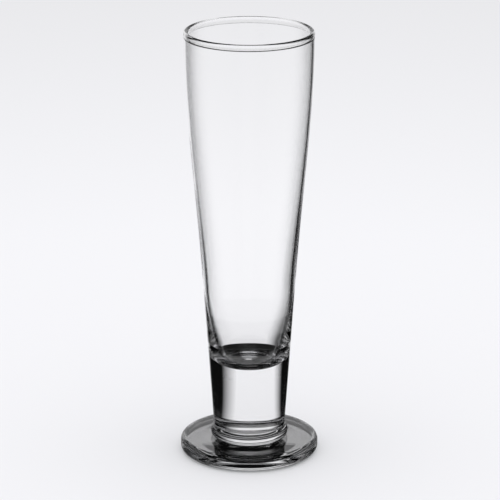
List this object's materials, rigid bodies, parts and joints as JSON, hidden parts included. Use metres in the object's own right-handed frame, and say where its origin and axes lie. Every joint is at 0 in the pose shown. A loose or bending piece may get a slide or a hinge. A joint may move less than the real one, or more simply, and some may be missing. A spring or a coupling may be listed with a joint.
{
  "type": "pilsner glass",
  "caption": "Tall footed pilsner glass: a tapered clear bowl with a heavy cup-shaped bottom on a short solid stem, a rounded collar ring and a thick round foot.",
  "frame": {"origin": "on the axis of the glass, on the plane of the table that the foot rests on", "axes": "+Z along the axis of the glass, up from the foot to the rim; the glass is round, so X and Y are free"},
  "size_m": [0.073, 0.073, 0.2285],
  "materials": {
    "clear_glass": "clear soda-lime glass, fire-polished and smooth"
  },
  "bodies": {
    "root": {"foot": "clear_glass", "ring": "clear_glass", "stem": "clear_glass", "bowl": "clear_glass"}
  },
  "joints": []
}
